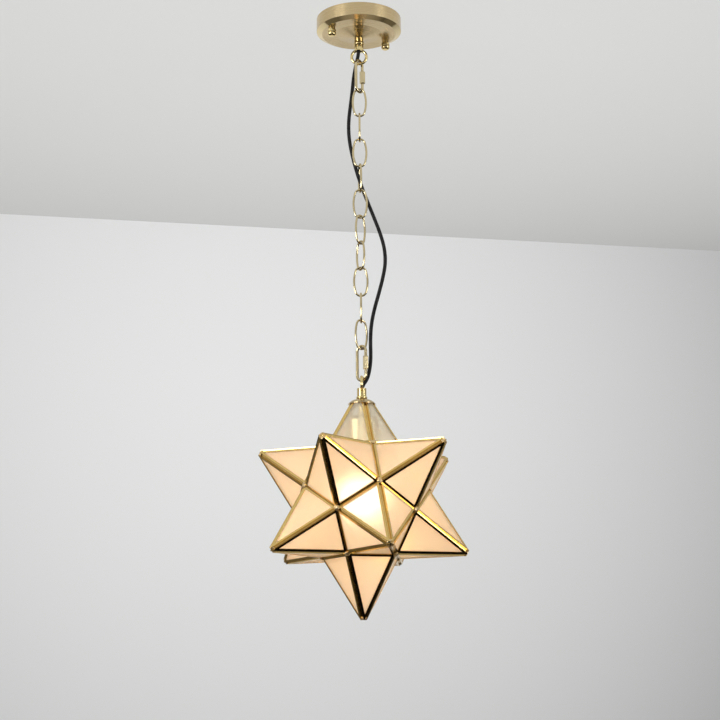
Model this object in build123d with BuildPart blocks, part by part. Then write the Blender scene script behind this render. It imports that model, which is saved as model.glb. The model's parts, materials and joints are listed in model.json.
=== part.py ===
"""Star pendant: a glass and brass star hung from a canopy by quick links, a chain and a flex.

Millimetres, +Z up. The origin is the middle of the canopy where it meets the ceiling, X runs to
the right and Y away from someone who looks at the pendant from the front.
"""

import os
from math import acos, asin, atan, atan2, cos, degrees, pi, radians, sin, sqrt, tan

from build123d import *

os.makedirs("parts", exist_ok=True)

# ---------------------------------------------------------------- sizes

fit_gap = 0.05  # thread and press fits, on the radius
hang_gap = 0.3  # between wires that hang in each other
slant_hang_gap = 0.8  # the same where the wires cross far from square
seat_gap = 0.1  # between flat faces that turn or part

canopy_radius = 59.1
canopy_wall_height = 18.1
canopy_flat_radius = 51.5
canopy_depth = 21.8
trumpet_radius = 32.0
trumpet_mid_radius = 17.5
trumpet_mid_drop = 2.9
trumpet_drop = 6.2
canopy_sheet = 1.2

bracket_length = 104.0
bracket_width = 20.0
bracket_thickness = 2.0
stud_spacing = 88.9  # centre to centre, a usual box spacing
stud_radius = 2.0
stud_head_radius = 3.4
stud_head_height = 0.9
fixing_spacing = 69.85  # centre to centre, the other usual box spacing
fixing_hole_radius = 2.2
supply_hole_radius = 6.5
bracket_turn = 32.5  # degrees, the line of the studs from X

cap_nut_height = 12.6
cap_nut_radius = 5.9
cap_nut_collar_radius = 4.6
cap_nut_collar_height = 2.6
cap_nut_groove_place = 7.2
cap_nut_groove_depth = 0.5
cap_nut_thread_depth = 9.0
cap_nut_round = 3.4

block_length = 17.0
block_width = 13.0
block_height = 9.0
block_place = -19.0  # along the bracket from its middle

stem_radius = 5.0
stem_room = 0.5  # free space round the stem where it passes the top point
stem_bore_radius = 2.2
stem_in_loop = 8.4
stem_past_canopy = 9.5
nut_flats = 14.0
nut_height = 3.0

neck_radius = 6.3
neck_bore_radius = 3.8
bead_radius = 7.5
bead_height = 4.0
ring_outer_radius = 12.25
ring_wire_radius = 2.0
canopy_neck_length = 19.0
canopy_bead_place = 8.5
canopy_ring_past_neck = 8.6  # from the neck's mouth to the ring's middle
star_neck_length = 15.1
star_bead_place = 2.5
star_ring_past_neck = 5.55

quick_length = 50.5
quick_width = 17.6
quick_wire_radius = 2.0
quick_gate_bottom = -7.5
quick_gate_top = -2.0
quick_top_turn = 50.0
quick_bottom_turn = -34.0
sleeve_length = 18.0
sleeve_flats = 6.9

link_length = 42.8
link_width = 21.0
link_wire_radius = 1.425
link_end_radius = 7.3
link_turns = [0, 90, 0, -80, 0, 48, -57, 0, 90, 34]  # degrees from X, top to bottom

star_edge = 64.65  # edge of the dodecahedron inside the star
star_tip = 152.4  # centre to blunt tip
star_turn = 14.29  # degrees, the lower front point from the front
top_cut = 130.9  # where the top point stops, above the star's centre

glass_thickness = 2.5
glass_gap = 0.05
came_thickness = 0.6
came_inner_thickness = 0.6
came_flange = 5.2
came_inner_flange = 5.2
came_floor = 0.6  # half the flat solder floor between the two channels of a ridge
came_groove = 0.45
valley_flange = 3.0
valley_heart = 1.1
valley_seam = 0.05
ridge_inset = 3.2
valley_inset = 0.8

cap_radius = 18.2
cap_rim = 1.0
cap_rise = 6.7
cap_sheet = 1.3
cap_seat = 2.9
cap_flat_radius = 7.6
cap_round_radius = 13.4
cap_round_drop = 1.7

cup_radius = 21.5
cup_top = 113.8
cup_height = 54.0
cup_sheet = 1.2
cup_shoulder = 6.0
insert_radius = 18.5
insert_top = 104.0
insert_mouth = 1.5
insert_flange_height = 4.0
shell_outer_radius = 13.9
shell_sheet = 0.6
shell_length = 22.0
socket_ceiling = 90.0

bulb_base_radius = 13.0
bulb_base_length = 25.0
bulb_tip_radius = 4.0
bulb_tip_length = 1.6
bulb_length = 108.0
bulb_radius = 30.0
bulb_glass = 1.2

hinge_length = 24.0
hinge_knuckles = 3
knuckle_radius = 2.2
hinge_pin_radius = 1.0
hinge_offset = 3.0  # the pin's axis, out from the valley
leaf_thickness = 0.8
leaf_reach = 6.5
leaf_notch = 3.7
knuckle_gap = 0.3
door_name = "upper_2"  # which of the points opens

cord_radius = 2.5
cord_lead = 9.5  # the flex stands this far straight above the star's stem

# ---------------------------------------------------------------- heights that follow from the sizes

canopy_bottom = -(canopy_depth + trumpet_drop)
ring_middle_radius = ring_outer_radius - ring_wire_radius
canopy_ring_z = canopy_bottom - canopy_neck_length - canopy_ring_past_neck
canopy_pivot_z = canopy_ring_z - ring_middle_radius
quick_top_z = canopy_pivot_z + ring_wire_radius + quick_wire_radius + slant_hang_gap
quick_top_z += quick_wire_radius - quick_length / 2
quick_reach = quick_length / 2 - quick_wire_radius
quick_top_pivot_z = quick_top_z - quick_reach
link_reach = link_length / 2 - link_wire_radius
first_link_z = quick_top_pivot_z + quick_wire_radius + link_wire_radius + slant_hang_gap
first_link_z -= link_reach
link_pitch = 2 * link_reach - 2 * link_wire_radius - hang_gap
link_z = [first_link_z - link_pitch * i for i in range(len(link_turns))]
chain_end_z = link_z[-1] - link_reach
quick_bottom_z = chain_end_z + link_wire_radius + quick_wire_radius + hang_gap - quick_reach
quick_bottom_pivot_z = quick_bottom_z - quick_reach
star_ring_z = quick_bottom_pivot_z + quick_wire_radius + ring_wire_radius + hang_gap
star_ring_z -= ring_middle_radius
cap_top = top_cut + cap_rise
star_z = star_ring_z - star_ring_past_neck - star_neck_length - cap_top
canopy_stem_bottom = canopy_bottom - stem_in_loop
star_stem_top = star_z + cap_top + stem_in_loop

# ---------------------------------------------------------------- the star's own geometry

golden = (1 + sqrt(5)) / 2
dihedral_half = degrees(atan(golden))  # half the angle between two panes, at ridge or valley
face_radius = star_edge / (2 * sin(radians(36)))
face_inner_radius = star_edge / (2 * tan(radians(36)))
face_height = star_edge * golden**2 / (2 * sqrt(3 - golden))
point_height = star_edge * sqrt((5 + 2 * sqrt(5)) / 5)
apex = face_height + point_height
pane_length = sqrt(point_height**2 + face_inner_radius**2)
pane_half_angle = degrees(atan(star_edge / 2 / pane_length))
ring_tilt = degrees(asin(1 / sqrt(5)))


def save(part, label):
    part.label = label
    export_step(part, f"parts/{label}.step")


def set_at(part, *places):
    """The part, copied to each place."""
    with BuildPart() as placed:
        with Locations(*places):
            add(part)
    return placed.part


def hex_nut(height, bore):
    with BuildPart() as nut:
        with BuildSketch():
            RegularPolygon(nut_flats / 2, 6, major_radius=False)
            Circle(bore, mode=Mode.SUBTRACT)
        extrude(amount=height)
        chamfer(nut.edges().group_by(Axis.Z)[-1].filter_by(GeomType.LINE), 0.5)
    return nut.part


# ---------------------------------------------------------------- bracket, studs and terminal block

bracket_place = Location((0, 0, 0), (0, 0, bracket_turn))
stud_places = [bracket_place * Location((side * stud_spacing / 2, 0, 0)) for side in (-1, 1)]

with BuildPart() as bracket_blank:
    with BuildSketch():
        SlotOverall(bracket_length, bracket_width)
    extrude(amount=-bracket_thickness)
    with Locations((0, 0, 0)):
        Hole(supply_hole_radius)
    with GridLocations(fixing_spacing, 0, 2, 1):
        Hole(fixing_hole_radius)
    with GridLocations(stud_spacing, 0, 2, 1):
        CounterBoreHole(stud_radius + fit_gap, stud_head_radius + seat_gap, stud_head_height + seat_gap)
mounting_bracket = set_at(bracket_blank.part, bracket_place)
save(mounting_bracket, "mounting_bracket")

stud_length = canopy_depth + cap_nut_thread_depth - 1.0
with BuildPart() as stud:
    with BuildSketch(Plane.XY.offset(-seat_gap)):
        Circle(stud_head_radius)
    extrude(amount=-stud_head_height)
    with BuildSketch(Plane.XY.offset(-seat_gap)):
        Circle(stud_radius)
    extrude(amount=-stud_length)
    chamfer(stud.edges().group_by(Axis.Z)[0], 0.4)
canopy_studs = set_at(stud.part, *stud_places)
save(canopy_studs, "canopy_studs")

with BuildPart() as block_blank:
    with BuildSketch(Plane.XY.offset(-bracket_thickness)):
        with Locations((block_place, 0)):
            Rectangle(block_length, block_width)
    extrude(amount=-block_height)
    fillet(block_blank.edges().filter_by(Axis.Z), 1.0)
    with BuildSketch(Plane.XY.offset(-bracket_thickness - block_height)):
        with Locations((block_place, 0)):
            with GridLocations(block_length / 3, 0, 3, 1):
                Circle(1.9)
    extrude(amount=2.5, mode=Mode.SUBTRACT)
terminal_block = set_at(block_blank.part, bracket_place)
save(terminal_block, "terminal_block")

# ---------------------------------------------------------------- canopy

stem_clearance = stem_radius + 0.2
nut_seat_radius = 9.0
nut_seat_z = canopy_bottom + 2.6

with BuildPart() as canopy:
    with BuildSketch(Plane.XZ):
        with BuildLine():
            Polyline(
                (canopy_radius - canopy_sheet, 0),
                (canopy_radius, 0),
                (canopy_radius, -canopy_wall_height),
                (canopy_flat_radius, -canopy_depth),
                (trumpet_radius, -canopy_depth),
            )
            ThreePointArc(
                (trumpet_radius, -canopy_depth),
                (trumpet_mid_radius, -canopy_depth - trumpet_mid_drop),
                (neck_radius, canopy_bottom),
            )
            Polyline(
                (neck_radius, canopy_bottom),
                (stem_clearance, canopy_bottom),
                (stem_clearance, nut_seat_z),
                (nut_seat_radius, nut_seat_z),
            )
            ThreePointArc(
                (nut_seat_radius, nut_seat_z),
                (trumpet_mid_radius, -canopy_depth - trumpet_mid_drop + canopy_sheet),
                (trumpet_radius, -canopy_depth + canopy_sheet),
            )
            Polyline(
                (trumpet_radius, -canopy_depth + canopy_sheet),
                (canopy_flat_radius - 0.3, -canopy_depth + canopy_sheet),
                (canopy_radius - canopy_sheet, -canopy_wall_height + 0.5),
                (canopy_radius - canopy_sheet, 0),
            )
        make_face()
    revolve(axis=Axis.Z)
    with Locations(*stud_places):
        Cylinder(stud_radius + 0.25, 3 * canopy_depth, mode=Mode.SUBTRACT)
save(canopy.part, "canopy")

# ---------------------------------------------------------------- cap nuts

with BuildPart() as cap_nut:
    with BuildSketch(Plane.XZ):
        with BuildLine():
            Polyline((0, 0), (cap_nut_collar_radius, 0), (cap_nut_collar_radius, -cap_nut_collar_height))
            Polyline(
                (cap_nut_collar_radius, -cap_nut_collar_height),
                (cap_nut_radius, -cap_nut_collar_height - 0.8),
                (cap_nut_radius, -cap_nut_groove_place + 2 * cap_nut_groove_depth),
                (cap_nut_radius - cap_nut_groove_depth, -cap_nut_groove_place),
                (cap_nut_radius, -cap_nut_groove_place - 2 * cap_nut_groove_depth),
                (cap_nut_radius, -cap_nut_height),
                (0, -cap_nut_height),
                (0, 0),
            )
        make_face()
    revolve(axis=Axis.Z)
    fillet(cap_nut.edges().filter_by(GeomType.CIRCLE).sort_by(Axis.Z)[0], cap_nut_round)
    with Locations((0, 0, -cap_nut_thread_depth / 2)):
        Cylinder(stud_radius + fit_gap, cap_nut_thread_depth, mode=Mode.SUBTRACT)

for side, place in zip(("left", "right"), stud_places):
    nut_place = place * Location((0, 0, -canopy_depth - seat_gap))
    save(set_at(cap_nut.part, nut_place), f"cap_nut_{side}")

# ---------------------------------------------------------------- loops and stems


def loop_fitting(neck_length, bead_place, ring_past_neck):
    """A neck that hangs down from its threaded seat at z = 0, with a ring in the XZ plane."""
    ring_z = -neck_length - ring_past_neck
    with BuildPart() as fitting:
        with BuildSketch(Plane.XZ):
            with BuildLine():
                Polyline((0, 0), (neck_radius, 0), (neck_radius, -bead_place + bead_height / 2))
                ThreePointArc(
                    (neck_radius, -bead_place + bead_height / 2),
                    (bead_radius, -bead_place),
                    (neck_radius, -bead_place - bead_height / 2),
                )
                Polyline(
                    (neck_radius, -bead_place - bead_height / 2),
                    (neck_radius, -neck_length),
                    (0, -neck_length),
                    (0, 0),
                )
            make_face()
        revolve(axis=Axis.Z)
        with Locations(Location((0, 0, ring_z), (90, 0, 0))):
            Torus(ring_middle_radius, ring_wire_radius)
        with Locations((0, 0, -(neck_length + 1.6) / 2)):
            Cylinder(neck_bore_radius, neck_length + 1.6, mode=Mode.SUBTRACT)
        with Locations((0, 0, -stem_in_loop / 2)):
            Cylinder(stem_radius + fit_gap, stem_in_loop, mode=Mode.SUBTRACT)
    return fitting.part


def stem(length):
    """A threaded tube, from z = 0 up."""
    with BuildPart() as tube:
        with BuildSketch():
            Circle(stem_radius)
            Circle(stem_bore_radius, mode=Mode.SUBTRACT)
        extrude(amount=length)
        chamfer(tube.edges().filter_by(GeomType.CIRCLE).sort_by(SortBy.RADIUS)[-2:], 0.4)
    return tube.part


canopy_loop = set_at(
    loop_fitting(canopy_neck_length, canopy_bead_place, canopy_ring_past_neck),
    Location((0, 0, canopy_bottom)),
)
save(canopy_loop, "canopy_loop")

canopy_stem = set_at(
    stem(stem_in_loop + stem_past_canopy), Location((0, 0, canopy_stem_bottom))
)
save(canopy_stem, "canopy_stem")

canopy_loop_nut = set_at(hex_nut(nut_height, stem_radius + fit_gap), Location((0, 0, nut_seat_z)))
save(canopy_loop_nut, "canopy_loop_nut")

star_loop_seat = star_z + cap_top
star_loop = set_at(
    loop_fitting(star_neck_length, star_bead_place, star_ring_past_neck),
    Location((0, 0, star_loop_seat), (180, 0, 90)),
)
save(star_loop, "star_loop")

cup_top_z = star_z + cup_top
cup_nut_under = cup_top_z - cup_sheet - nut_height
star_stem_bottom = cup_nut_under - 1.5
star_stem = set_at(stem(star_stem_top - star_stem_bottom), Location((0, 0, star_stem_bottom)))
save(star_stem, "star_stem")

cap_nut_z = star_loop_seat - cap_sheet - nut_height
stem_nuts = set_at(
    hex_nut(nut_height, stem_radius + fit_gap),
    Location((0, 0, cap_nut_z)),
    Location((0, 0, cup_top_z)),
    Location((0, 0, cup_nut_under)),
)
save(stem_nuts, "stem_nuts")

# ---------------------------------------------------------------- quick links

quick_half_width = quick_width / 2 - quick_wire_radius
quick_arc_z = quick_length / 2 - quick_width / 2

with BuildPart() as quick_body:
    with BuildLine() as quick_path:
        Line((quick_half_width, 0, quick_gate_bottom), (quick_half_width, 0, -quick_arc_z))
        ThreePointArc(
            (quick_half_width, 0, -quick_arc_z),
            (0, 0, -quick_arc_z - quick_half_width),
            (-quick_half_width, 0, -quick_arc_z),
        )
        Line((-quick_half_width, 0, -quick_arc_z), (-quick_half_width, 0, quick_arc_z))
        ThreePointArc(
            (-quick_half_width, 0, quick_arc_z),
            (0, 0, quick_arc_z + quick_half_width),
            (quick_half_width, 0, quick_arc_z),
        )
        Line((quick_half_width, 0, quick_arc_z), (quick_half_width, 0, quick_gate_top))
    with BuildSketch(Plane(origin=quick_path.line @ 0, z_dir=quick_path.line % 0)):
        Circle(quick_wire_radius)
    sweep()

with BuildPart() as sleeve:
    with BuildSketch(Plane.XY.offset(-sleeve_length / 2)):
        with Locations((quick_half_width, 0)):
            RegularPolygon(sleeve_flats / 2, 6, major_radius=False)
            Circle(quick_wire_radius + fit_gap, mode=Mode.SUBTRACT)
    extrude(amount=sleeve_length)
    end_edges = sleeve.edges().filter_by(GeomType.LINE).group_by(Axis.Z)
    chamfer(end_edges[0] + end_edges[-1], 0.6)

quick_places = {
    "quick_link_top": Location((0, 0, quick_top_z), (0, 0, quick_top_turn)),
    "quick_link_bottom": Location((0, 0, quick_bottom_z), (0, 0, quick_bottom_turn)),
}
for name, place in quick_places.items():
    save(set_at(quick_body.part, place), name)
    save(set_at(sleeve.part, place), f"{name}_sleeve")

# ---------------------------------------------------------------- chain

link_half_width = link_width / 2 - link_wire_radius
link_end_z = link_reach - link_end_radius
link_side_radius = (link_half_width**2 + link_end_z**2 - link_end_radius**2) / (
    2 * (link_half_width - link_end_radius)
)
link_side_angle = degrees(asin(link_end_z / (link_side_radius - link_end_radius)))

with BuildPart() as chain_link:
    with BuildLine(Plane.XZ) as link_path:
        CenterArc(
            (link_half_width - link_side_radius, 0),
            link_side_radius,
            -link_side_angle,
            2 * link_side_angle,
        )
        CenterArc((0, link_end_z), link_end_radius, link_side_angle, 180 - 2 * link_side_angle)
        CenterArc(
            (link_side_radius - link_half_width, 0),
            link_side_radius,
            180 - link_side_angle,
            2 * link_side_angle,
        )
        CenterArc(
            (0, -link_end_z), link_end_radius, 180 + link_side_angle, 180 - 2 * link_side_angle
        )
    with BuildSketch(Plane(origin=link_path.line @ 0, z_dir=link_path.line % 0)):
        Circle(link_wire_radius)
    sweep()

for number, (height, turn) in enumerate(zip(link_z, link_turns), start=1):
    save(set_at(chain_link.part, Location((0, 0, height), (0, 0, turn))), f"chain_link_{number:02d}")

# ---------------------------------------------------------------- flex

cord_route = [
    (0.0, 0.0, canopy_stem_bottom),
    (0.0, 0.0, -48.5),
    (-4.6, 6.9, -64.5),
    (-8.0, 6.9, -84.0),
    (-10.0, 6.0, -106.0),
    (-12.8, 5.0, -128.0),
    (-15.3, 4.4, -150.0),
    (-15.0, 4.5, -172.0),
    (-11.8, 4.7, -193.0),
    (-6.9, 4.6, -214.0),
    (-1.2, 4.4, -234.0),
    (5.3, 4.6, -253.5),
    (12.4, 5.2, -272.0),
    (19.6, 5.0, -291.0),
    (26.9, 4.6, -311.0),
    (32.6, 4.0, -332.0),
    (33.9, 3.6, -354.0),
    (29.8, 3.2, -376.0),
    (23.9, 3.1, -398.0),
    (17.6, 2.8, -420.0),
    (13.3, 2.6, -442.0),
    (12.2, 2.6, -464.0),
    (12.7, 2.6, -486.0),
    (11.0, 2.9, -502.0),
    (7.6, 3.2, -515.5),
    (0.0, 0.0, star_stem_top + cord_lead),
    (0.0, 0.0, star_stem_top),
]

runs = [Vector(*b) - Vector(*a) for a, b in zip(cord_route, cord_route[1:])]
bends = []
for before, after in zip(runs, runs[1:]):
    half_turn = radians(before.get_angle(after) / 2)
    bends.append(0.45 * min(before.length, after.length) / tan(half_turn))
print("cord bends, radii in mm:", [round(r) for r in bends])

with BuildPart() as supply_cord:
    with BuildLine() as cord_path:
        FilletPolyline(*cord_route, radius=bends)
    with BuildSketch(Plane(origin=cord_path.line @ 0, z_dir=cord_path.line % 0)):
        Circle(cord_radius)
    sweep()
cord_length = cord_path.wires()[0].length
print(
    "cord length", round(cord_length, 1), "volume", round(supply_cord.part.volume),
    "section times length", round(pi * cord_radius**2 * cord_length),
)
save(supply_cord.part, "supply_cord")

# ---------------------------------------------------------------- star: one point, pointing along Z

edge_middle = Vector(face_inner_radius, 0, face_height)
up_the_pane = Vector(-face_inner_radius, 0, point_height) / pane_length
out_of_pane = Vector(point_height, 0, face_inner_radius) / pane_length
sector_reach = 3 * star_tip


def on_pane(along, rise, side=1):
    """A point of a came's section across a ridge: along the pane from the ridge, and out of it."""
    angle = radians(dihedral_half)
    across = along * sin(angle) + rise * cos(angle)
    out = -along * cos(angle) + rise * sin(angle)
    return side * across, out


def both_sides(points):
    return [on_pane(*p) for p in points] + [on_pane(*p, side=-1) for p in reversed(points)]


def ridge_line_drop(rise):
    """Where two planes at this rise meet, straight above or under the ridge."""
    return rise / sin(radians(dihedral_half))


lean = cos(radians(dihedral_half)) / sin(radians(dihedral_half))
glass_top = -came_thickness - glass_gap
glass_bottom = glass_top - glass_thickness
came_lower = glass_bottom - glass_gap
came_bottom = came_lower - came_inner_thickness
web_place = -came_bottom * lean

with BuildPart() as space_of_point:
    seam_drop = valley_seam / sin(atan(face_inner_radius / face_height))
    for height in (0.3 * face_height, 1.2 * apex):
        with BuildSketch(Plane.XY.offset(height)):
            RegularPolygon((height - seam_drop) * face_radius / face_height, 5, rotation=36)
    loft(ruled=True)


def sector(start_angle):
    """A fifth of the point, all its height up to the blunt tip."""
    with BuildPart() as wedge:
        with BuildSketch():
            with BuildLine():
                Polyline(
                    (0, 0),
                    (sector_reach * cos(radians(start_angle)), sector_reach * sin(radians(start_angle))),
                    (
                        sector_reach * cos(radians(start_angle + 72)),
                        sector_reach * sin(radians(start_angle + 72)),
                    ),
                    close=True,
                )
            make_face()
        extrude(amount=star_tip)
    return wedge.part


ridge_foot = Vector(
    face_radius * cos(radians(36)), face_radius * sin(radians(36)), face_height
)
ridge_direction = (Vector(0, 0, apex) - ridge_foot).normalized()
ridge_plane = Plane(
    origin=ridge_foot, x_dir=(sin(radians(36)), -cos(radians(36)), 0), z_dir=ridge_direction
)

# Two U channels, one round each pane's edge, that meet at their inner corners.
groove_rise = (came_floor - web_place * sin(radians(dihedral_half))) / cos(radians(dihedral_half))
channel_outside = [
    (came_flange, -came_thickness),
    (came_flange, 0),
    (web_place, 0),
    (web_place, groove_rise),
]
channel_inside = [
    (web_place + came_thickness, -came_thickness),
    (web_place + came_thickness, came_lower),
    (came_inner_flange, came_lower),
    (came_inner_flange, came_bottom),
]

with BuildPart() as ridge_came:
    with BuildSketch(ridge_plane):
        with BuildLine():
            Polyline(
                *both_sides(channel_outside),
                *[on_pane(*p, side=-1) for p in channel_inside],
                (0, ridge_line_drop(came_bottom)),
                *[on_pane(*p) for p in reversed(channel_inside)],
                close=True,
            )
        make_face()
    extrude(amount=2 * apex, both=True)
    add(sector(0), mode=Mode.INTERSECT)
    add(space_of_point.part, mode=Mode.INTERSECT)

valley_plane = Plane(origin=edge_middle, x_dir=up_the_pane, z_dir=(0, 1, 0))

with BuildPart() as valley_came:
    with BuildSketch(valley_plane):
        with BuildLine():
            Polyline(
                (0.5, 0),
                (valley_flange, 0),
                (valley_flange, -came_thickness),
                (valley_heart / 2, -came_thickness),
                (valley_heart / 2, came_lower),
                (valley_flange, came_lower),
                (valley_flange, came_bottom),
                (2 * came_bottom * lean, came_bottom),
                (2 * came_bottom * lean, -came_groove),
                (0, -came_groove),
                close=True,
            )
        make_face()
    extrude(amount=star_edge, both=True)
    add(sector(-36), mode=Mode.INTERSECT)
    add(space_of_point.part, mode=Mode.INTERSECT)

with BuildPart() as whole_frame:
    with PolarLocations(0, 5):
        add(ridge_came.part)
        add(valley_came.part)

pane_plane = Plane(origin=edge_middle, x_dir=(0, 1, 0), z_dir=out_of_pane).offset(glass_top)
pane_foot = star_edge / 2 * (1 - valley_inset / pane_length)
pane_foot -= ridge_inset / cos(radians(pane_half_angle))
pane_tip = pane_length - ridge_inset / sin(radians(pane_half_angle))

with BuildPart() as pane:
    with BuildSketch(pane_plane):
        with BuildLine():
            Polyline(
                (-pane_foot, valley_inset), (pane_foot, valley_inset), (0, pane_tip), close=True
            )
        make_face()
    extrude(amount=-glass_thickness)

with BuildPart() as whole_panes:
    with PolarLocations(0, 5):
        add(pane.part)

with BuildPart() as cut_frame:
    add(whole_frame.part)
    split(bisect_by=Plane.XY.offset(top_cut), keep=Keep.BOTTOM)
    with Locations((0, 0, star_tip)):
        Cylinder(stem_radius + stem_room, star_tip, mode=Mode.SUBTRACT)

with BuildPart() as cut_panes:
    add(whole_panes.part)
    split(bisect_by=Plane.XY.offset(top_cut - seat_gap), keep=Keep.BOTTOM)

# ---------------------------------------------------------------- star: twelve points


def point_place(azimuth, upward):
    """Where a side point stands. Azimuth is in degrees from the front, towards +X."""
    side = Vector(sin(radians(azimuth)), -cos(radians(azimuth)), 0)
    tilt = radians(ring_tilt) * upward
    axis = side * cos(tilt) + Vector(0, 0, sin(tilt))
    towards_pole = Vector(0, 0, upward) * cos(tilt) - side * sin(tilt) * upward
    return Plane(origin=(0, 0, star_z), x_dir=towards_pole, z_dir=axis)


first_side = Vector(sin(radians(star_turn)), -cos(radians(star_turn)), 0)
point_places = {
    "top": Plane(origin=(0, 0, star_z), x_dir=-first_side, z_dir=(0, 0, 1)),
    "bottom": Plane(origin=(0, 0, star_z), x_dir=first_side, z_dir=(0, 0, -1)),
}
for number in range(5):
    point_places[f"upper_{number}"] = point_place(star_turn + 36 + 72 * number, 1)
    point_places[f"lower_{number}"] = point_place(star_turn + 72 * number, -1)
door_place = point_places.pop(door_name)
point_places["door"] = door_place

for name, plane in point_places.items():
    frame, panes = whole_frame.part, whole_panes.part
    if name == "top":
        frame, panes = cut_frame.part, cut_panes.part
    save(set_at(frame, plane.location), f"point_frame_{name}")
    save(set_at(panes, plane.location), f"point_panes_{name}")

# ---------------------------------------------------------------- cap over the top point

with BuildPart() as cap_blank:
    with BuildSketch(Plane.XZ):
        with BuildLine():
            Polyline((cap_radius - cap_seat, 0), (cap_radius, 0), (cap_radius, cap_rim))
            ThreePointArc(
                (cap_radius, cap_rim),
                (cap_round_radius, cap_rise - cap_round_drop),
                (cap_flat_radius, cap_rise),
            )
            Polyline(
                (cap_flat_radius, cap_rise),
                (stem_radius + seat_gap, cap_rise),
                (stem_radius + seat_gap, cap_rise - cap_sheet),
                (cap_flat_radius + 1.2, cap_rise - cap_sheet),
            )
            ThreePointArc(
                (cap_flat_radius + 1.2, cap_rise - cap_sheet),
                (cap_round_radius - 0.4, cap_rise - cap_round_drop - cap_sheet),
                (cap_radius - cap_sheet, cap_rim / 2),
            )
            Polyline(
                (cap_radius - cap_sheet, cap_rim / 2),
                (cap_radius - cap_seat, cap_rim / 2),
                (cap_radius - cap_seat, 0),
            )
        make_face()
    revolve(axis=Axis.Z)
star_cap = set_at(cap_blank.part, Location((0, 0, star_z + top_cut)))
save(star_cap, "star_cap")

# ---------------------------------------------------------------- lamp holder

cup_mouth = cup_top - cup_height

with BuildPart() as cup_blank:
    with BuildSketch(Plane.XZ):
        with BuildLine():
            Polyline(
                (stem_radius + seat_gap, cup_top),
                (cup_radius - cup_shoulder, cup_top),
            )
            RadiusArc(
                (cup_radius - cup_shoulder, cup_top), (cup_radius, cup_top - cup_shoulder), cup_shoulder
            )
            Polyline(
                (cup_radius, cup_top - cup_shoulder),
                (cup_radius, cup_mouth),
                (cup_radius - cup_sheet, cup_mouth),
                (cup_radius - cup_sheet, cup_top - cup_shoulder),
            )
            RadiusArc(
                (cup_radius - cup_sheet, cup_top - cup_shoulder),
                (cup_radius - cup_shoulder, cup_top - cup_sheet),
                -(cup_shoulder - cup_sheet),
            )
            Polyline(
                (cup_radius - cup_shoulder, cup_top - cup_sheet),
                (stem_radius + seat_gap, cup_top - cup_sheet),
                (stem_radius + seat_gap, cup_top),
            )
        make_face()
    revolve(axis=Axis.Z)
socket_cup = set_at(cup_blank.part, Location((0, 0, star_z)))
save(socket_cup, "socket_cup")

insert_bottom = cup_mouth + insert_mouth
shell_seat_radius = shell_outer_radius + fit_gap
with BuildPart() as insert_blank:
    with BuildSketch(Plane.XZ):
        with BuildLine():
            Polyline(
                (0, socket_ceiling + 1.0),
                (shell_seat_radius, socket_ceiling + 1.0),
                (shell_seat_radius, insert_bottom),
                (cup_radius - cup_sheet - fit_gap, insert_bottom),
                (cup_radius - cup_sheet - fit_gap, insert_bottom + insert_flange_height),
                (insert_radius, insert_bottom + insert_flange_height),
                (insert_radius, insert_top),
                (0, insert_top),
                close=True,
            )
        make_face()
    revolve(axis=Axis.Z)
socket_insert = set_at(insert_blank.part, Location((0, 0, star_z)))
save(socket_insert, "socket_insert")

with BuildPart() as shell_blank:
    with BuildSketch(Plane.XY.offset(socket_ceiling + 1.0)):
        Circle(shell_outer_radius)
    extrude(amount=-shell_length)
    with BuildSketch(Plane.XY.offset(socket_ceiling + 1.0 - shell_sheet)):
        Circle(shell_outer_radius - shell_sheet)
    extrude(amount=-shell_length, mode=Mode.SUBTRACT)
socket_shell = set_at(shell_blank.part, Location((0, 0, star_z)))
save(socket_shell, "socket_shell")

# ---------------------------------------------------------------- bulb

bulb_top = socket_ceiling + 1.0 - shell_sheet - hang_gap
bulb_bottom = bulb_top - bulb_length
base_top = bulb_top - bulb_tip_length
base_bottom = base_top - bulb_base_length
globe_middle = bulb_bottom + bulb_radius
flare_start = 4.0  # the straight part of the neck below the base
flare_lean = 20.0

with BuildPart() as base_blank:
    with BuildSketch(Plane.XZ):
        with BuildLine():
            Polyline(
                (0, bulb_top),
                (bulb_tip_radius, bulb_top),
                (bulb_tip_radius, base_top),
                (bulb_base_radius - 3.0, base_top),
                (bulb_base_radius, base_top - 3.0),
                (bulb_base_radius, base_bottom),
                (0, base_bottom),
                close=True,
            )
        make_face()
    revolve(axis=Axis.Z)
save(set_at(base_blank.part, Location((0, 0, star_z))), "bulb_base")

globe_join = (
    bulb_radius * cos(radians(flare_lean)),
    globe_middle + bulb_radius * sin(radians(flare_lean)),
)
with BuildPart() as globe_blank:
    with BuildSketch(Plane.XZ):
        with BuildLine():
            Line((0, base_bottom), (bulb_base_radius, base_bottom))
            Line((bulb_base_radius, base_bottom), (bulb_base_radius, base_bottom - flare_start))
            Spline(
                (bulb_base_radius, base_bottom - flare_start),
                globe_join,
                tangents=[(0, -1), (sin(radians(flare_lean)), -cos(radians(flare_lean)))],
            )
            ThreePointArc(
                globe_join,
                (bulb_radius * cos(radians(-45)), globe_middle + bulb_radius * sin(radians(-45))),
                (0, bulb_bottom),
            )
            Line((0, bulb_bottom), (0, base_bottom))
        make_face()
    revolve(axis=Axis.Z)
    offset(amount=-bulb_glass, openings=globe_blank.faces().sort_by(Axis.Z)[-1])
save(set_at(globe_blank.part, Location((0, 0, star_z))), "bulb_globe")

# ---------------------------------------------------------------- hinge of the point that opens

edge_out = edge_middle.normalized()
hinge_local = Plane(origin=edge_middle + edge_out * hinge_offset, x_dir=(0, 1, 0), z_dir=edge_out)
hinge_place = door_place.location * hinge_local.location
knuckle_length = hinge_length / hinge_knuckles
leaf_distance = hinge_offset * sin(radians(dihedral_half))
leaf_foot = hinge_offset * cos(radians(dihedral_half))


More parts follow.
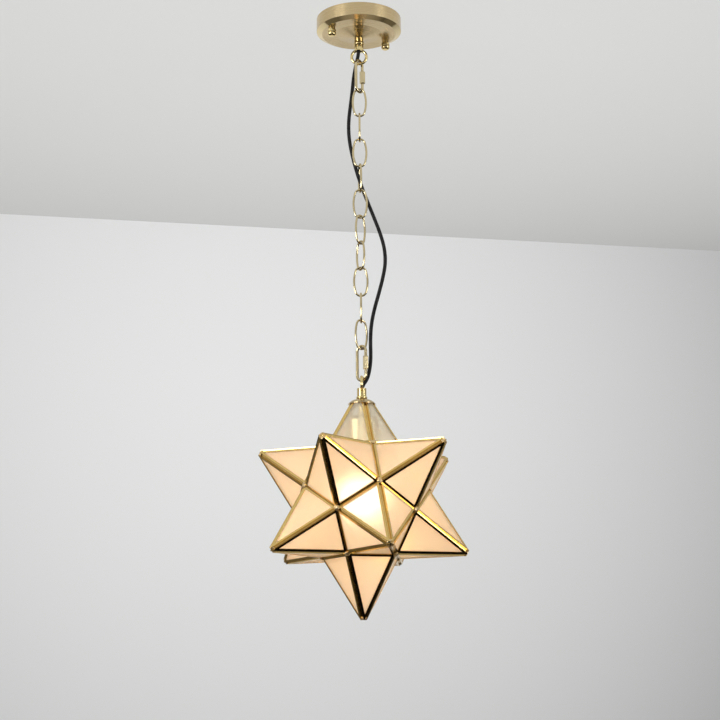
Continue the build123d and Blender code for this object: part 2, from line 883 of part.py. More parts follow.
def hinge_leaf(side, own_knuckles):
    """A leaf on the pane at one side of the valley. The pin lies along X, and Z points out."""
    section = Plane(origin=(-hinge_length / 2, 0, 0), x_dir=(0, 1, 0), z_dir=(1, 0, 0))
    turn = 90 - side * dihedral_half
    with BuildPart() as leaf:
        for number in range(hinge_knuckles):
            mine = number in own_knuckles
            gap = 0 if mine else -knuckle_gap
            start = number * knuckle_length + (knuckle_gap / 2 if mine else 0)
            length = knuckle_length - (knuckle_gap if mine else 0)
            with BuildSketch(section.offset(start)):
                reach_from = -leaf_foot + 1.0 if mine else leaf_notch - leaf_foot
                along = (reach_from + leaf_reach - leaf_foot) / 2
                with Locations(Location((0, 0, 0), (0, 0, turn))):
                    with Locations((along, -side * (leaf_distance - seat_gap - leaf_thickness / 2))):
                        Rectangle(leaf_reach - leaf_foot - reach_from, leaf_thickness)
                if mine:
                    Circle(knuckle_radius)
            extrude(amount=length)
        with BuildSketch(section):
            with Locations(Location((0, 0, 0), (0, 0, turn))):
                strip = leaf_reach - leaf_notch
                with Locations(
                    (
                        leaf_notch - leaf_foot + strip / 2,
                        -side * (leaf_distance - seat_gap - leaf_thickness / 2),
                    )
                ):
                    Rectangle(strip, leaf_thickness)
        extrude(amount=hinge_length)
        with BuildSketch(section.offset(-1.0)):
            Circle(hinge_pin_radius + fit_gap)
        extrude(amount=hinge_length + 2.0, mode=Mode.SUBTRACT)
    return leaf.part


save(set_at(hinge_leaf(-1, (0, 2)), hinge_place), "door_hinge_leaf_fixed")
save(set_at(hinge_leaf(1, (1,)), hinge_place), "door_hinge_leaf_door")

with BuildPart() as pin_blank:
    with BuildSketch(Plane(origin=(-hinge_length / 2 - 0.4, 0, 0), z_dir=(1, 0, 0))):
        Circle(hinge_pin_radius)
    extrude(amount=hinge_length + 0.8)
save(set_at(pin_blank.part, hinge_place), "door_hinge_pin")

# ---------------------------------------------------------------- what the record needs

hinge_at = hinge_place.position
hinge_axis = (hinge_place * Location((1, 0, 0))).position - hinge_at
door_axis = door_place.z_dir
print("star centre z", round(star_z, 3), "tip z", round(star_z - star_tip, 3))
print("canopy pivot", round(canopy_pivot_z, 3), "quick top pivot", round(quick_top_pivot_z, 3))
print("link bottoms", [round(z - link_reach, 3) for z in link_z])
print("quick bottom pivot", round(quick_bottom_pivot_z, 3), "quick z", round(quick_bottom_z, 3))
print("cord ends", round(canopy_stem_bottom, 3), round(star_stem_top, 3))
print("door hinge at", [round(v, 4) for v in hinge_at], "axis", [round(v, 6) for v in hinge_axis])
print("door points", [round(v, 4) for v in door_axis])
print("studs", [[round(v, 4) for v in place.position] for place in stud_places])
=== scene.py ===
"""Looks of the star pendant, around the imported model. Metres, +Z up, the ceiling at z = 0."""

import json
import math

import bmesh
import bpy
from mathutils import Matrix, Vector, noise


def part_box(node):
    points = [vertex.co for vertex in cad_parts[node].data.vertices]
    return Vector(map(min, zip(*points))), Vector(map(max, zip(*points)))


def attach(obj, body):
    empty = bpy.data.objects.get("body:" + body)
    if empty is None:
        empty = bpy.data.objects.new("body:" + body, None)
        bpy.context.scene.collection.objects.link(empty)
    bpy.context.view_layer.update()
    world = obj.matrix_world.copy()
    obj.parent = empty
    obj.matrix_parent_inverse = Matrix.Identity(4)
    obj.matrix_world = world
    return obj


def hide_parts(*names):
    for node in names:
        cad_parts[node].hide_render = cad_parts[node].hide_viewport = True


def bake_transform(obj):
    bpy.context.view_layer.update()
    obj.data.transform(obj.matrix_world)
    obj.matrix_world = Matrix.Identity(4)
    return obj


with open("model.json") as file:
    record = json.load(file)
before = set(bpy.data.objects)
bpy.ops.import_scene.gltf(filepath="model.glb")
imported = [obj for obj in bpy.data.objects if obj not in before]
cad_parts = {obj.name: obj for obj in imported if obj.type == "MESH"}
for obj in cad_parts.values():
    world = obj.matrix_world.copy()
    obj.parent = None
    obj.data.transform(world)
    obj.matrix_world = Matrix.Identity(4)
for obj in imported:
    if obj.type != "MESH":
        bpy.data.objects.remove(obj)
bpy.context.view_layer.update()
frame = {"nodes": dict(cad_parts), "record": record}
NODES = frame["nodes"]
STAR_Z = -0.68145
STAR = Vector((0, 0, STAR_Z))

# ---------------------------------------------------------------- camera

# Fitted to the star's tips in the photo.
CAMERA_AT = Vector((-0.00196, -2.08920, STAR_Z - 0.27470))
PITCH = math.radians(12.59)
ROLL = -0.0079
FOCAL_PX = 1598.5
PICTURE_PX = 720
SENSOR_MM = 36.0

forward = Vector((0, math.cos(PITCH), math.sin(PITCH)))
right = Vector((1, 0, 0))
up = right.cross(forward)
right_rolled = right * math.cos(ROLL) + up * math.sin(ROLL)
up_rolled = up * math.cos(ROLL) - right * math.sin(ROLL)
camera_data = bpy.data.cameras.new("camera")
camera_data.sensor_width = SENSOR_MM
camera_data.lens = FOCAL_PX / PICTURE_PX * SENSOR_MM
camera_data.clip_start = 0.05
camera_data.clip_end = 60.0
camera = bpy.data.objects.new("camera", camera_data)
bpy.context.collection.objects.link(camera)
camera.matrix_world = Matrix(
    (
        (right_rolled.x, up_rolled.x, -forward.x, CAMERA_AT.x),
        (right_rolled.y, up_rolled.y, -forward.y, CAMERA_AT.y),
        (right_rolled.z, up_rolled.z, -forward.z, CAMERA_AT.z),
        (0, 0, 0, 1),
    )
)
bpy.context.scene.camera = camera
bpy.context.scene.view_settings.view_transform = "Standard"

# ---------------------------------------------------------------- node helpers


class Tree:
    """A short way to build a material's nodes."""

    def __init__(self, name):
        self.material = bpy.data.materials.new(name)
        self.material.use_nodes = True
        self.tree = self.material.node_tree
        self.tree.nodes.clear()
        self.out = self.add("ShaderNodeOutputMaterial")

    def add(self, kind, **values):
        node = self.tree.nodes.new(kind)
        for key, value in values.items():
            setattr(node, key, value)
        return node

    def link(self, source, target):
        self.tree.links.new(source, target)

    def set(self, socket, value):
        if isinstance(value, bpy.types.NodeSocket):
            self.link(value, socket)
        else:
            socket.default_value = value

    def math(self, operation, a, b=None):
        node = self.add("ShaderNodeMath", operation=operation)
        for socket, value in zip(node.inputs, (a, b)):
            if value is not None:
                self.set(socket, value)
        return node.outputs[0]

    def ramp(self, value, low, high, out_low=0.0, out_high=1.0, smooth=True):
        node = self.add("ShaderNodeMapRange")
        node.interpolation_type = "SMOOTHSTEP" if smooth else "LINEAR"
        self.set(node.inputs["Value"], value)
        node.inputs["From Min"].default_value = low
        node.inputs["From Max"].default_value = high
        node.inputs["To Min"].default_value = out_low
        node.inputs["To Max"].default_value = out_high
        return node.outputs["Result"]

    def mix(self, factor, a, b, blend="MIX"):
        node = self.add("ShaderNodeMix", data_type="RGBA", blend_type=blend)
        self.set(node.inputs["Factor"], factor)
        self.set(node.inputs[6], a)
        self.set(node.inputs[7], b)
        return node.outputs[2]

    def noise(self, vector, scale, detail=3.0, roughness=0.55):
        node = self.add("ShaderNodeTexNoise")
        self.set(node.inputs["Vector"], vector)
        node.inputs["Scale"].default_value = scale
        node.inputs["Detail"].default_value = detail
        node.inputs["Roughness"].default_value = roughness
        return node.outputs["Fac"]

    def place(self):
        return self.add("ShaderNodeTexCoord").outputs["Object"]

    def scaled(self, vector, scale):
        node = self.add("ShaderNodeMapping")
        self.set(node.inputs["Vector"], vector)
        node.inputs["Scale"].default_value = scale
        return node.outputs["Vector"]

    def split(self, vector):
        node = self.add("ShaderNodeSeparateXYZ")
        self.set(node.inputs[0], vector)
        return node.outputs

    def bump(self, height, strength, distance, normal=None):
        node = self.add("ShaderNodeBump")
        node.inputs["Strength"].default_value = strength
        node.inputs["Distance"].default_value = distance
        self.set(node.inputs["Height"], height)
        if normal is not None:
            self.set(node.inputs["Normal"], normal)
        return node.outputs["Normal"]

    def soft_edges(self, radius):
        node = self.add("ShaderNodeBevel", samples=4)
        node.inputs["Radius"].default_value = radius
        return node.outputs["Normal"]

    def finish(self, **inputs):
        """The surface shader, with its inputs by name."""
        node = self.add("ShaderNodeBsdfPrincipled")
        for key, value in inputs.items():
            self.set(node.inputs[key.replace("_", " ")], value)
        self.link(node.outputs[0], self.out.inputs[0])
        return self.material


def rgb(r, g, b):
    return (r, g, b, 1.0)


# ---------------------------------------------------------------- metals


def brass(name, colour, dark, rough, rough_spread, shade_reach=0.0016, deep=(0.25, 0.85)):
    """Brass with cloudy colour, fine scratches and painted shade darkening its corners."""
    t = Tree(name)
    place = t.place()
    clouds = t.noise(place, 38, 4)
    lines = t.noise(t.scaled(place, (900, 900, 60)), 1.0, 3, 0.7)
    specks = t.noise(place, 700, 2)
    tone = t.mix(t.ramp(clouds, 0.35, 0.75), rgb(*colour), rgb(*[c * 0.86 for c in colour]))
    # painted shade: an ambient-occlusion mask darkens the colour towards the dark one, and roughens
    # it, in corners and crevices
    shade = t.add("ShaderNodeAmbientOcclusion", samples=6)
    shade.inputs["Distance"].default_value = shade_reach
    corner = t.ramp(shade.outputs["AO"], deep[0], deep[1], 1.0, 0.0)
    tone = t.mix(t.math("MULTIPLY", corner, 0.85), tone, rgb(*dark))
    worn = t.ramp(lines, 0.3, 0.7, rough, rough + rough_spread)
    rough_value = t.math("ADD", worn, t.math("MULTIPLY", corner, 0.25))
    height = t.math("ADD", t.math("MULTIPLY", lines, 0.7), t.math("MULTIPLY", specks, 0.3))
    normal = t.bump(height, 0.06, 0.0002, t.soft_edges(0.00025))
    return t.finish(Base_Color=tone, Metallic=1.0, Roughness=rough_value, Normal=normal)


CANOPY_RADIUS = 0.0591
CHAMFER_RADIUS = 0.0515  # where the chamfer meets the flat
CHAMFER_TOP = -0.0181
BLUR = 0.0003  # half the width over which satin turns into polish


def lathe_brass():
    """The canopy: satin, turned on a lathe, with a polished chamfer round its lower edge."""
    t = Tree("satin_brass")
    place = t.place()
    x, y, z = t.split(place)[:3]
    radius = t.math("SQRT", t.math("ADD", t.math("MULTIPLY", x, x), t.math("MULTIPLY", y, y)))
    across = t.math("ADD", radius, t.math("MULTIPLY", z, 0.9))
    turned = t.add("ShaderNodeTexNoise", noise_dimensions="1D")
    t.set(turned.inputs["W"], across)
    turned.inputs["Scale"].default_value = 5200
    turned.inputs["Detail"].default_value = 4
    clouds = t.noise(place, 26, 3)
    past_flat = t.ramp(radius, CHAMFER_RADIUS - BLUR, CHAMFER_RADIUS + BLUR)
    below_wall = t.ramp(z, CHAMFER_TOP + BLUR, CHAMFER_TOP - BLUR)
    inside_wall = t.ramp(radius, CANOPY_RADIUS - 0.00005, CANOPY_RADIUS - 0.0001)
    band = t.math("MULTIPLY", t.math("MULTIPLY", past_flat, below_wall), inside_wall)
    colour = t.mix(t.ramp(clouds, 0.3, 0.8), rgb(0.68, 0.53, 0.30), rgb(0.60, 0.46, 0.255))
    colour = t.mix(band, colour, rgb(0.86, 0.70, 0.40))
    satin = t.ramp(turned.outputs["Fac"], 0.25, 0.75, 0.20, 0.28)
    rough = t.add("ShaderNodeMix", data_type="FLOAT")
    t.set(rough.inputs["Factor"], band)
    t.set(rough.inputs[2], satin)
    rough.inputs[3].default_value = 0.09
    tangent = t.add("ShaderNodeTangent", direction_type="RADIAL", axis="Z")
    normal = t.bump(turned.outputs["Fac"], 0.05, 0.00012, t.soft_edges(0.0004))
    return t.finish(
        Base_Color=colour,
        Metallic=1.0,
        Roughness=rough.outputs[0],
        Anisotropic=0.85,
        Anisotropic_Rotation=0.25,
        Tangent=tangent.outputs[0],
        Normal=normal,
    )


def plain(name, colour, rough, metallic=0.0, grain=600, strength=0.08):
    """A plain surface with faint clouds and a fine grain."""
    t = Tree(name)
    place = t.place()
    clouds = t.noise(place, 60, 3)
    fine = t.noise(place, grain, 3)
    tone = t.mix(t.ramp(clouds, 0.3, 0.7), rgb(*colour), rgb(*[c * 0.88 for c in colour]))
    normal = t.bump(fine, strength, 0.0003, t.soft_edges(0.0003))
    rough_value = t.ramp(fine, 0.3, 0.7, rough, rough + 0.1)
    return t.finish(Base_Color=tone, Metallic=metallic, Roughness=rough_value, Normal=normal)


BULB_Z = STAR_Z + 0.012
GLOW_NEAR = 0.055  # the panes' painted glow is strongest within this distance of the bulb's middle
GLOW_FAR = 0.150  # and least beyond this
BULB_BRIGHT_Z = STAR_Z + 0.008
BULB_DIM_Z = STAR_Z + 0.040


def frosted(name, painted_glow, tint, rough, through):
    """Frosted glass with a painted glow: an emission that stands in for the bulb's light from
    inside, falling off away from the bulb.
    """
    t = Tree(name)
    place = t.place()
    x, y, z = t.split(place)[:3]
    from_bulb = t.math("SUBTRACT", z, BULB_Z)
    squares = [t.math("MULTIPLY", v, v) for v in (x, y, from_bulb)]
    distance = t.math("SQRT", t.math("ADD", t.math("ADD", squares[0], squares[1]), squares[2]))
    near = t.ramp(distance, GLOW_NEAR, GLOW_FAR, 1.0, 0.0, smooth=False)
    mottle = t.noise(place, 55, 3)
    fine = t.noise(place, 2600, 2)
    # painted light: the warm emission, strongest near the bulb and slightly mottled
    warm = t.mix(near, rgb(1.0, 0.70, 0.40), rgb(1.0, 0.78, 0.46))
    level = t.math("MULTIPLY", t.ramp(near, 0.0, 1.0, 0.90, 1.0), painted_glow)
    level = t.math("MULTIPLY", level, t.ramp(mottle, 0.3, 0.7, 0.97, 1.03))
    normal = t.bump(fine, 0.25, 0.0002)
    return t.finish(
        Base_Color=rgb(*tint),
        Roughness=rough,
        Transmission_Weight=through,
        IOR=1.25,
        Specular_IOR_Level=0.5,
        Emission_Color=warm,
        Emission_Strength=level,
        Normal=normal,
    )


STRANDS = 10.0  # of the flex's braid, round it
BRAID_TURNS = 620.0  # of the braid, per metre


def braided_flex():
    """Black flex with a fine braid, laid out along the tube's own UV."""
    t = Tree("black_flex")
    uv = t.add("ShaderNodeTexCoord").outputs["UV"]
    u, v = t.split(uv)[:2]
    heights = []
    for sign in (1, -1):
        across = t.math("MULTIPLY", u, STRANDS)
        slant = t.math("ADD", across, t.math("MULTIPLY", v, sign * BRAID_TURNS))
        heights.append(t.math("SINE", t.math("MULTIPLY", slant, math.tau)))
    weave = t.math("MAXIMUM", heights[0], heights[1])
    fluff = t.noise(t.place(), 900, 3)
    # painted shade and highlight: the braid's colour is darker in the grooves between strands and
    # lighter on their tops
    colour = t.mix(t.ramp(weave, -0.4, 1.0), rgb(0.003, 0.003, 0.003), rgb(0.014, 0.013, 0.013))
    normal = t.bump(t.math("ADD", weave, t.math("MULTIPLY", fluff, 0.5)), 0.30, 0.00025)
    return t.finish(Base_Color=colour, Roughness=0.36, Specular_IOR_Level=0.20, Normal=normal)


MATERIALS = {
    "satin_brass": lathe_brass(),
    "polished_brass": brass("polished_brass", (0.86, 0.68, 0.33), (0.22, 0.13, 0.04), 0.08, 0.07),
    "chain_brass": brass(
        "chain_brass", (0.72, 0.60, 0.36), (0.10, 0.06, 0.02), 0.10, 0.10, 0.0022
    ),
    "came_brass": brass(
        "came_brass", (0.86, 0.61, 0.23), (0.10, 0.06, 0.02), 0.13, 0.14, 0.0018, (0.05, 0.60)
    ),
    "solder": brass("solder", (0.92, 0.67, 0.35), (0.24, 0.13, 0.05), 0.26, 0.20),
    "zinc_steel": brass("zinc_steel", (0.72, 0.73, 0.75), (0.25, 0.25, 0.26), 0.28, 0.12),
    "terminal_plastic": plain("terminal_plastic", (0.80, 0.78, 0.70), 0.45),
    "black_flex": braided_flex(),
    "holder_metal": brass("holder_metal", (0.86, 0.74, 0.48), (0.30, 0.20, 0.08), 0.34, 0.10),
    "porcelain": plain("porcelain", (0.88, 0.87, 0.82), 0.16, grain=200, strength=0.03),
    "bulb_aluminium": plain("bulb_aluminium", (0.78, 0.78, 0.79), 0.25, metallic=1.0),
    # painted light: the lit panes' peach tint is the white glass with the bulb's warm light painted
    # in; the top point's panes are a painted shaded copy, greyer and with less glow, for the socket
    # cup's shade
    "frosted_glass": frosted("frosted_glass", 0.125, (0.96, 0.82, 0.64), 0.50, 0.60),
    "frosted_glass_top_shaded": frosted("frosted_glass_top_shaded", 0.05, (0.94, 0.92, 0.83), 0.31, 0.78),
}

bulb = Tree("bulb_glass")
bulb_height = bulb.split(bulb.place())[2]
MATERIALS["bulb_glass"] = bulb.finish(
    Base_Color=rgb(1.0, 0.93, 0.80),
    Roughness=0.4,
    Emission_Color=rgb(1.0, 0.89, 0.68),
    Emission_Strength=bulb.ramp(bulb_height, BULB_DIM_Z, BULB_BRIGHT_Z, 0.25, 7.5),
    Normal=bulb.bump(bulb.noise(bulb.place(), 1500, 2), 0.1, 0.0002),
)

for entry in frame["record"]["subparts"]:
    node = NODES[entry["node"]]
    name = entry["material_slot"]
    # the top point's panes take the painted shaded copy of the frosted glass
    if entry["node"] == "point_panes_top":
        name = "frosted_glass_top_shaded"
    node.data.materials.clear()
    node.data.materials.append(MATERIALS[name])


def piece(name, mesh, material):
    """A new visible piece, made from the mesh."""
    mesh.materials.append(MATERIALS[material])
    made = bpy.data.objects.new(name, mesh)
    bpy.context.collection.objects.link(made)
    return made


# ---------------------------------------------------------------- flex

CORD_RADIUS = 0.0025
CORD_ROUTE = [
    (0.0, 0.0, -0.0364),
    (0.0, 0.0, -0.0485),
    (-0.0046, 0.0069, -0.0645),
    (-0.0080, 0.0069, -0.0840),
    (-0.0100, 0.0060, -0.1060),
    (-0.0128, 0.0050, -0.1280),
    (-0.0153, 0.0044, -0.1500),
    (-0.0150, 0.0045, -0.1720),
    (-0.0118, 0.0047, -0.1930),
    (-0.0069, 0.0046, -0.2140),
    (-0.0012, 0.0044, -0.2340),
    (0.0053, 0.0046, -0.2535),
    (0.0124, 0.0052, -0.2720),
    (0.0196, 0.0050, -0.2910),
    (0.0269, 0.0046, -0.3110),
    (0.0326, 0.0040, -0.3320),
    (0.0339, 0.0036, -0.3540),
    (0.0298, 0.0032, -0.3760),
    (0.0239, 0.0031, -0.3980),
    (0.0176, 0.0028, -0.4200),
    (0.0133, 0.0026, -0.4420),
    (0.0122, 0.0026, -0.4640),
    (0.0127, 0.0026, -0.4860),
    (0.0110, 0.0029, -0.5020),
    (0.0076, 0.0032, -0.5155),
    (0.0, 0.0, -0.52595),
    (0.0, 0.0, -0.53545),
]

CHAIN = ["canopy", "quick_link_top"]
CHAIN += [f"chain_link_{number:02d}" for number in range(1, 11)]
CHAIN += ["quick_link_bottom", "star"]


def middle(node):
    low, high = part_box(node)
    return (low + high) / 2


def smooth_line(points):
    """Points along the NURBS line that has these control points."""
    data = bpy.data.curves.new("route", "CURVE")
    data.dimensions = "3D"
    data.resolution_u = 10
    spline = data.splines.new("NURBS")
    spline.points.add(len(points) - 1)
    for point, place in zip(spline.points, points):
        point.co = (*place, 1.0)
    spline.order_u = 3
    spline.use_endpoint_u = True
    holder = bpy.data.objects.new("route", data)
    bpy.context.collection.objects.link(holder)
    bpy.context.view_layer.update()
    depsgraph = bpy.context.evaluated_depsgraph_get()
    mesh = bpy.data.meshes.new_from_object(holder.evaluated_get(depsgraph))
    line = [v.co.copy() for v in mesh.vertices]
    bpy.data.objects.remove(holder)
    return line


def tube(name, line, along, frames, radius, sides=20):
    """A round tube along the line, with UVs round it and along it."""
    bm = bmesh.new()
    rings = []
    for centre, (side, rise) in zip(line, frames):
        ring = []
        for i in range(sides):
            angle = math.tau * i / sides
            out = side * math.cos(angle) + rise * math.sin(angle)
            ring.append(bm.verts.new(centre + out * radius))
        rings.append(ring)
    layer = bm.loops.layers.uv.new("uv")
    for r, (a, b) in enumerate(zip(rings, rings[1:])):
        for i in range(sides):
            j = (i + 1) % sides
            face = bm.faces.new((a[i], a[j], b[j], b[i]))
            face.smooth = True
            for loop, (du, dv) in zip(face.loops, ((0, 0), (1, 0), (1, 1), (0, 1))):
                loop[layer].uv = ((i + du) / sides, along[r + dv])
    bm.faces.new(rings[0][::-1])
    bm.faces.new(rings[-1])
    bm.normal_update()
    mesh = bpy.data.meshes.new(name)
    bm.to_mesh(mesh)
    bm.free()
    return mesh


line = smooth_line(CORD_ROUTE)
along = [0.0]
for a, b in zip(line, line[1:]):
    along.append(along[-1] + (b - a).length)
frames = []
side = Vector((1, 0, 0))
for i in range(len(line)):
    tangent = (line[min(i + 1, len(line) - 1)] - line[max(i - 1, 0)]).normalized()
    side = (side - tangent * side.dot(tangent)).normalized()
    frames.append((side.copy(), tangent.cross(side)))

cuts = [0]
for body in CHAIN[1:-1]:
    height = middle(body).z
    cuts.append(min(range(len(line)), key=lambda i: abs(line[i].z - height)))
cuts.append(len(line) - 1)
for number, (first, last) in enumerate(zip(cuts, cuts[1:])):
    span = slice(first, last + 1)
    name = f"flex_{number + 1:02d}"
    mesh = tube(name, line[span], along[span], frames[span], CORD_RADIUS)
    flex = piece(name, mesh, "black_flex")
    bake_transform(flex)
    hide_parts("supply_cord")

# ---------------------------------------------------------------- solder

STAR_TURN = math.radians(14.29)
EDGE = 0.06465
GOLDEN = (1 + math.sqrt(5)) / 2
TIP = 0.1524  # from the star's middle to a point's blunt tip
APEX = 0.161  # from the star's middle to where a point's ridges would meet
VERTEX_RADIUS = EDGE * GOLDEN * math.sqrt(3) / 2
NEIGHBOURS = 0.4  # two points side by side have directions with a dot product above this
TIP_LUMP = (0.0047, 0.0018)  # half the width and half the height of a lump of solder
JOINT_LUMP = (0.0037, 0.0019)
FRAME_SIDE_LUMP = (0.0026, 0.0017)  # these two where the door's corner splits the lump
DOOR_SIDE_LUMP = (0.0024, 0.0014)
TIP_INSET = 0.0020
JOINT_INSET = 0.0002
FRAME_SIDE_SHIFT = 0.0032
DOOR_SIDE_SHIFT = 0.0050


def direction(turn, up_down):
    """The direction of a slanting point: its turn about the star's axis, and +1 up or -1 down."""
    flat = 2 / math.sqrt(5)
    return Vector((math.sin(turn) * flat, -math.cos(turn) * flat, up_down / math.sqrt(5)))


POINTS = {"top": Vector((0, 0, 1)), "bottom": Vector((0, 0, -1))}
for number in range(5):
    POINTS[f"upper_{number}"] = direction(STAR_TURN + math.radians(36 + 72 * number), 1)
    POINTS[f"lower_{number}"] = direction(STAR_TURN + math.radians(72 * number), -1)
POINTS["door"] = POINTS.pop("upper_2")


def blob(name, body, centre, axis, size, seed):
    """A small uneven lump of solder, which rides on the body."""
    width, height = size
    bm = bmesh.new()
    bmesh.ops.create_icosphere(bm, subdivisions=4, radius=1.0)
    turn = axis.to_track_quat("Z", "Y").to_matrix()
    for vert in bm.verts:
        p = vert.co.copy()
        lump = noise.noise(p * 1.7 + Vector((seed * 7.1, 0, 0))) * 0.28
        lump += noise.noise(p * 4.5 + Vector((0, seed * 3.7, 0))) * 0.10
        p *= 1 + lump
        vert.co = centre + turn @ Vector((p.x * width, p.y * width, p.z * height))
    for face in bm.faces:
        face.smooth = True
    mesh = bpy.data.meshes.new(name)
    bm.to_mesh(mesh)
    bm.free()
    made = piece(name, mesh, "solder")
    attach(made, body)


names = sorted(POINTS)
seed = 1
for name in names:
    if name == "top":
        continue
    seed += 1
    axis = POINTS[name]
    body = "star_door" if name == "door" else "star"
    blob(f"solder_tip_{name}", body, STAR + axis * (TIP - TIP_INSET), axis, TIP_LUMP, seed)

corner = 0
for a in range(12):
    for b in range(a + 1, 12):
        for c in range(b + 1, 12):
            three = [POINTS[names[i]] for i in (a, b, c)]
            closeness = [three[0].dot(three[1]), three[1].dot(three[2]), three[0].dot(three[2])]
            if min(closeness) < NEIGHBOURS:
                continue
            corner += 1
            seed += 1
            out = (three[0] + three[1] + three[2]).normalized()
            centre = STAR + out * (VERTEX_RADIUS - JOINT_INSET)
            joint_name = f"solder_joint_{corner:02d}"
            if "door" not in (names[a], names[b], names[c]):
                blob(joint_name, "star", centre, out, JOINT_LUMP, seed)
                continue
            away = (out - POINTS["door"] * out.dot(POINTS["door"])).normalized()
            beside = centre + away * FRAME_SIDE_SHIFT
            blob(joint_name, "star", beside, out, FRAME_SIDE_LUMP, seed)
            along_ridge = (POINTS["door"] * APEX - out * VERTEX_RADIUS).normalized()
            above = centre + along_ridge * DOOR_SIDE_SHIFT
            blob(f"solder_door_{corner:02d}", "star_door", above, out, DOOR_SIDE_LUMP, seed + 50)

# ---------------------------------------------------------------- room


def room_paint(name, colour, lit, centre=(0, 0, 0), reach=1.2, painted_falloff=0.0):
    """Matt paint, see-through from behind, with a painted pool of light: it fades to black away
    from the centre.

    The share given by lit keeps its own brightness in the picture and in what metal and glass show.
    """
    t = Tree(name)
    paint = t.add("ShaderNodeBsdfDiffuse")
    mottled = t.noise(t.place(), 1.3, 3)
    tone = t.mix(mottled, rgb(*colour), rgb(*[c * 0.97 for c in colour]))
    away = t.add("ShaderNodeVectorMath", operation="DISTANCE")
    t.link(t.place(), away.inputs[0])
    away.inputs[1].default_value = centre
    # painted light: the colour darkens with distance from the centre
    dim = t.math("POWER", t.ramp(away.outputs["Value"], 0.0, reach, smooth=False), 1.9)
    tone = t.mix(t.math("MULTIPLY", dim, painted_falloff), tone, rgb(0.0, 0.0, 0.0))
    t.set(paint.inputs[0], tone)
    even = t.add("ShaderNodeEmission")
    t.set(even.inputs[0], tone)
    rays = t.add("ShaderNodeLightPath").outputs
    seen = t.math("MAXIMUM", rays["Is Camera Ray"], rays["Is Glossy Ray"])
    seen = t.math("MAXIMUM", seen, rays["Is Transmission Ray"])
    both = t.add("ShaderNodeMixShader")
    t.set(both.inputs[0], t.math("MULTIPLY", seen, lit))
    t.link(paint.outputs[0], both.inputs[1])
    t.link(even.outputs[0], both.inputs[2])
    clear = t.add("ShaderNodeBsdfTransparent")
    cull = t.add("ShaderNodeMixShader")
    t.set(cull.inputs[0], t.add("ShaderNodeNewGeometry").outputs["Backfacing"])
    t.link(both.outputs[0], cull.inputs[1])
    t.link(clear.outputs[0], cull.inputs[2])
    t.link(cull.outputs[0], t.out.inputs[0])
    return t.material


def plane(name, centre, across, down, material):
    """A flat sheet of the room, from its middle and its two half sides."""
    mesh = bpy.data.meshes.new(name)
    corners = [centre + across * a + down * b for a, b in ((-1, -1), (1, -1), (1, 1), (-1, 1))]
    mesh.from_pydata([tuple(v) for v in corners], [], [(0, 1, 2, 3)])
    mesh.materials.append(material)
    made = bpy.data.objects.new(name, mesh)
    bpy.context.collection.objects.link(made)
    return made


CEILING_GAP = 0.0004  # keeps the ceiling's face off the canopy's rim
wall_turn = math.radians(11.4)
wall_right = Vector((math.cos(wall_turn), math.sin(wall_turn), 0))
wall_at = Vector((0.03, 1.015, 0))
# the ceiling and the wall carry painted pools of light, brightest near their centres
plane(
    "ceiling",
    wall_at + Vector((0, -3.0, CEILING_GAP)),
    Vector((4, 0, 0)),
    Vector((0, 4, 0)),
    room_paint("ceiling_paint", (0.82, 0.825, 0.81), 0.8, (0.0, -0.15, 0.0), 1.6, 0.42),
).data.flip_normals()
plane(
    "wall",
    wall_at + Vector((0, 0, -2.0)),
    wall_right * 4,
    Vector((0, 0, 2.0)),
    room_paint("wall_paint", (0.83, 0.835, 0.83), 0.8, (-0.20, 0.97, -0.26), 1.22, 0.50),
)
plane(
    "floor",
    Vector((0, 0, -2.4)),
    Vector((5, 0, 0)),
    Vector((0, 5, 0)),
    room_paint("floor_paint", (0.55, 0.55, 0.54), 0.8),
)

# The next four are painted reflections: sheets seen only in reflections, which give the brass dark
# and bright faces.
CARD_Z = -2.3
card = plane(
    "dark_card",
    Vector((0, 0, CARD_Z)),
    Vector((3.6, 0, 0)),
    Vector((0, 3.6, 0)),
    room_paint("dark_card_reflection", (0.32, 0.29, 0.25), 1.0, (0.0, 0.9, CARD_Z), 1.3, 1.0),
)
low_wall = plane(
    "dark_low_wall",
    wall_at + Vector((0, -0.03, -1.65)),
    wall_right * 3.6,
    Vector((0, 0, 0.67)),
    room_paint("dark_low_wall_reflection", (0.13, 0.12, 0.10), 1.0),
)
cards = [card, low_wall]
for side, middle_x, half_width in (("left", -0.24, 0.07), ("right", 0.34, 0.09)):
    cards.append(
        plane(
            f"light_strip_{side}",
            wall_at + wall_right * middle_x + Vector((0, -0.05, -1.40)),
            wall_right * half_width,
            Vector((0, 0, 0.40)),
            room_paint(f"light_strip_{side}", (1.0, 0.98, 0.94), 1.0),
        )
    )
for card in cards:
    card.visible_camera = False
    card.visible_diffuse = False
    card.visible_transmission = False
    card.visible_shadow = False

# ---------------------------------------------------------------- light

LOW_SKY = 0.03
HIGH_SKY = 0.80
SEEN_SKY = 0.62  # where the camera sees the sky, also through glass

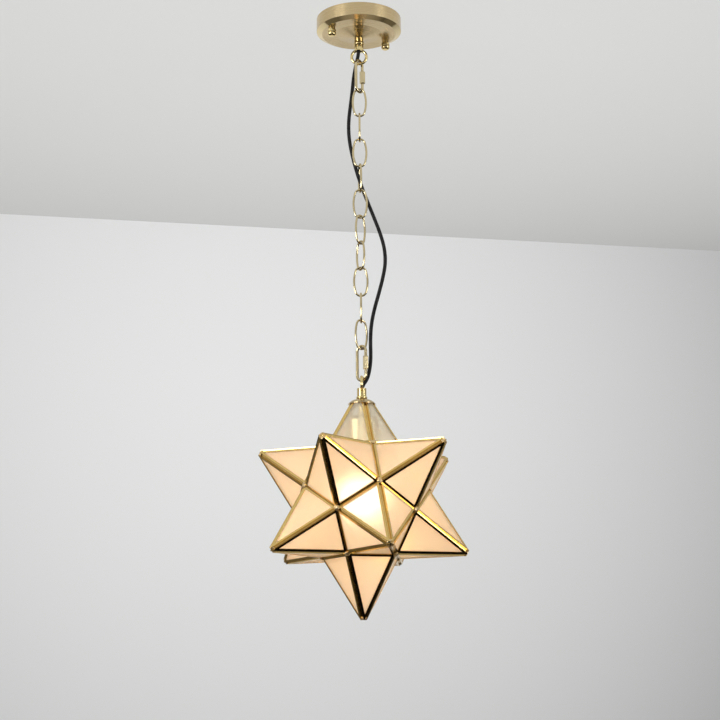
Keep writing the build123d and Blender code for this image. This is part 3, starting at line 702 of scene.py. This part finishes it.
world = bpy.data.worlds.new("world")
bpy.context.scene.world = world
world.use_nodes = True
sky = world.node_tree
sky.nodes.clear()
sky_out = sky.nodes.new("ShaderNodeOutputWorld")
background = sky.nodes.new("ShaderNodeBackground")
where = sky.nodes.new("ShaderNodeTexCoord")
parts = sky.nodes.new("ShaderNodeSeparateXYZ")
level = sky.nodes.new("ShaderNodeMapRange")
level.interpolation_type = "SMOOTHSTEP"
level.inputs["From Min"].default_value = -0.35
level.inputs["From Max"].default_value = 0.45
level.inputs["To Min"].default_value = LOW_SKY
level.inputs["To Max"].default_value = HIGH_SKY
sky.links.new(where.outputs["Generated"], parts.inputs[0])
sky.links.new(parts.outputs[2], level.inputs["Value"])
paths = sky.nodes.new("ShaderNodeLightPath")
pale = sky.nodes.new("ShaderNodeMath")
pale.operation = "MAXIMUM"
sky.links.new(paths.outputs["Is Camera Ray"], pale.inputs[0])
sky.links.new(paths.outputs["Is Transmission Ray"], pale.inputs[1])
strength = sky.nodes.new("ShaderNodeMix")
sky.links.new(pale.outputs[0], strength.inputs["Factor"])
sky.links.new(level.outputs["Result"], strength.inputs[2])
strength.inputs[3].default_value = SEEN_SKY
sky.links.new(strength.outputs[0], background.inputs["Strength"])
background.inputs["Color"].default_value = (0.97, 0.985, 1.0, 1.0)
sky.links.new(background.outputs[0], sky_out.inputs[0])


LAMP_SPREAD = math.radians(140)


def lamp(name, at, target, width, height, energy):
    """A soft lamp at one place, turned to another."""
    data = bpy.data.lights.new(name, "AREA")
    data.spread = LAMP_SPREAD
    data.shape = "RECTANGLE"
    data.size = width
    data.size_y = height
    data.energy = energy
    made = bpy.data.objects.new(name, data)
    bpy.context.collection.objects.link(made)
    made.location = at
    made.rotation_euler = (Vector(target) - Vector(at)).to_track_quat("-Z", "Y").to_euler()
    return made


lamp("key", (-2.0, -1.7, -0.42), (0, 0, -0.45), 1.4, 0.8, 20)
lamp("fill", (2.3, -1.4, -0.42), (0, 0, -0.45), 1.0, 0.8, 11)
front = lamp("front", (0.5, -3.3, -0.40), (0, 0, -0.55), 2.4, 0.7, 18)
front.visible_glossy = False
